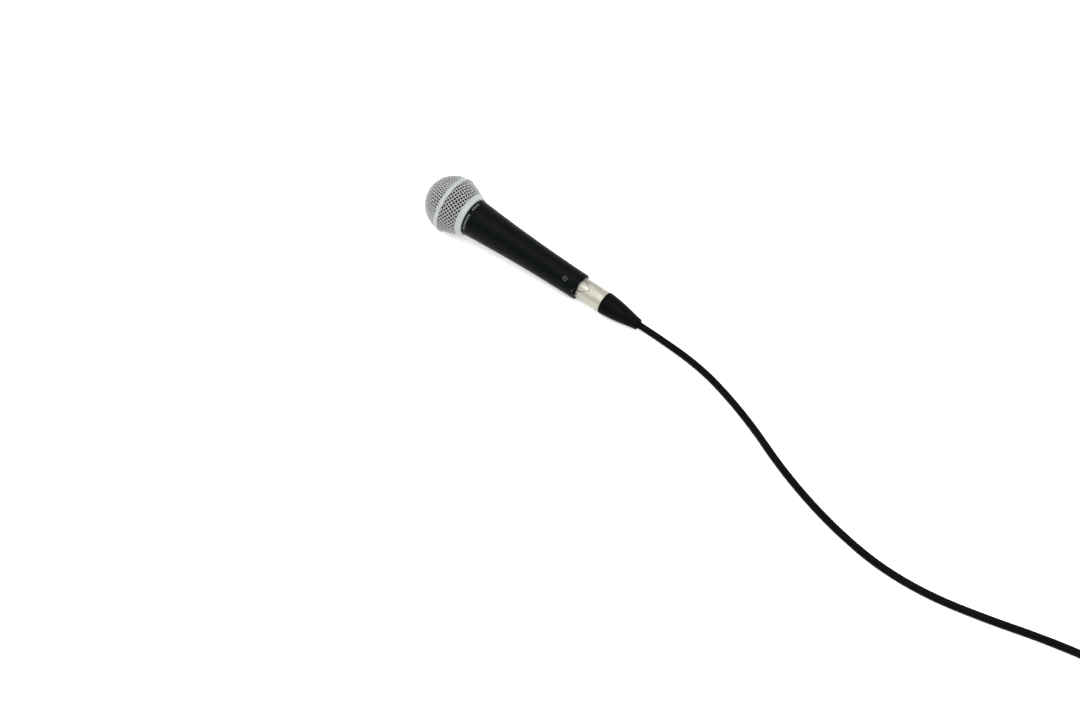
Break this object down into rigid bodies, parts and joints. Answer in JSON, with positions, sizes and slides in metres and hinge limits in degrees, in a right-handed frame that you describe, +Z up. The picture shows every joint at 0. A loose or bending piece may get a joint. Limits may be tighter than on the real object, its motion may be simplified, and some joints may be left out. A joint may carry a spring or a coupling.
{
  "type": "handheld vocal microphone with cable",
  "caption": "Handheld vocal microphone with a ball-shaped woven grille and tapered handle, lying down and plugged into a coiled audio cable.",
  "frame": {"origin": "on the table, under the middle of the microphone with the connector that is plugged into it", "axes": "+Z up; -X towards the ball, +X towards the cable; the microphone lies in the XZ plane, its ball end raised 5.7 degrees"},
  "size_m": [0.7448, 0.1658, 0.0526],
  "materials": {
    "mesh": "satin",
    "band": "satin",
    "collar": "satin",
    "foam": "open-cell foam",
    "gasket": "matte",
    "paint": "satin, with small chips",
    "insert_plastic": "matte",
    "pin_metal": "silver plated",
    "contact_metal": "gold plated",
    "screw": "black oxide",
    "capsule_metal": "plain",
    "resonator": "matte",
    "magnet": "plated",
    "board": "phenolic board",
    "mount_rubber": "soft",
    "lead_hot": "insulated wire",
    "lead_cold": "insulated wire",
    "film": "thin film",
    "copper": "copper wire",
    "nickel": "satin nickel plate",
    "clamp": "plain",
    "boot_rubber": "matte",
    "jacket": "matte",
    "tie": "hook-and-loop",
    "core_red": "insulated core",
    "core_white": "insulated core",
    "core_bare": "twisted bare screen",
    "latch": "pressed steel",
    "spring": "spring wire"
  },
  "bodies": {
    "cable": {"connector_insert": "insert_plastic", "plug_insert": "insert_plastic", "plug_pin_1": "pin_metal", "plug_pin_2": "pin_metal", "plug_pin_3": "pin_metal", "connector_contact_1": "contact_metal", "connector_contact_2": "contact_metal", "connector_contact_3": "contact_metal", "connector_shell": "nickel", "plug_shell": "nickel", "connector_clamp": "clamp", "plug_clamp": "clamp", "connector_boot": "boot_rubber", "plug_boot": "boot_rubber", "cord_root": "jacket", "plug_cord_end": "jacket", "cord": "jacket", "cord_tail": "jacket", "cord_coil": "jacket", "coil_tie": "tie", "core_wire_2": "core_red", "plug_core_2": "core_red", "core_wire_3": "core_white", "plug_core_3": "core_white", "core_wire_1": "core_bare", "plug_core_1": "core_bare", "latch_spring": "spring"},
    "microphone": {"handle": "paint", "socket_insert": "insert_plastic", "socket_pin_1": "pin_metal", "socket_pin_2": "pin_metal", "socket_pin_3": "pin_metal", "insert_screw": "screw", "capsule_housing": "capsule_metal", "resonator_plate": "resonator", "pole_plate": "capsule_metal", "magnet": "magnet", "yoke_cup": "capsule_metal", "terminal_board": "board", "shock_mount": "mount_rubber", "lead_hot": "lead_hot", "lead_cold": "lead_cold"},
    "gasket": {"collar_gasket": "gasket"},
    "grille": {"grille_dome": "mesh", "grille_band": "band", "grille_skirt": "mesh", "grille_collar": "collar", "foam_liner": "foam"},
    "diaphragm": {"diaphragm": "film", "voice_coil": "copper"},
    "latch": {"latch": "latch"}
  },
  "joints": [
    {"name": "unplug", "type": "slide", "parent": "cable", "child": "microphone", "axis": [-0.995, 0, 0.0994], "range_m": [0, 0.018]},
    {"name": "grille_lift", "type": "slide", "parent": "microphone", "child": "gasket", "axis": [-0.995, 0, 0.0994], "range_m": [0, 0.0035]},
    {"name": "grille_turn", "type": "hinge", "parent": "gasket", "child": "grille", "pos_m": [-0.06753, 0, 0.02441], "axis": [-0.995, 0, 0.0994], "range_deg": [0, 1259.9]},
    {"name": "diaphragm_move", "type": "slide", "parent": "microphone", "child": "diaphragm", "axis": [0.995, 0, -0.0994], "range_m": [-0.0003, 0.0003], "stiffness_N_per_m": 90},
    {"name": "latch_press", "type": "slide", "parent": "cable", "child": "latch", "axis": [-0.0886, 0.454, -0.8866], "range_m": [0, 0.0012], "stiffness_N_per_m": 900, "springref_m": -0.0006, "deforming": ["latch_spring"]}
  ],
  "couplings": [
    {"joint": "grille_lift", "follows": "grille_turn", "m_per_rad": 0.00015915}
  ]
}
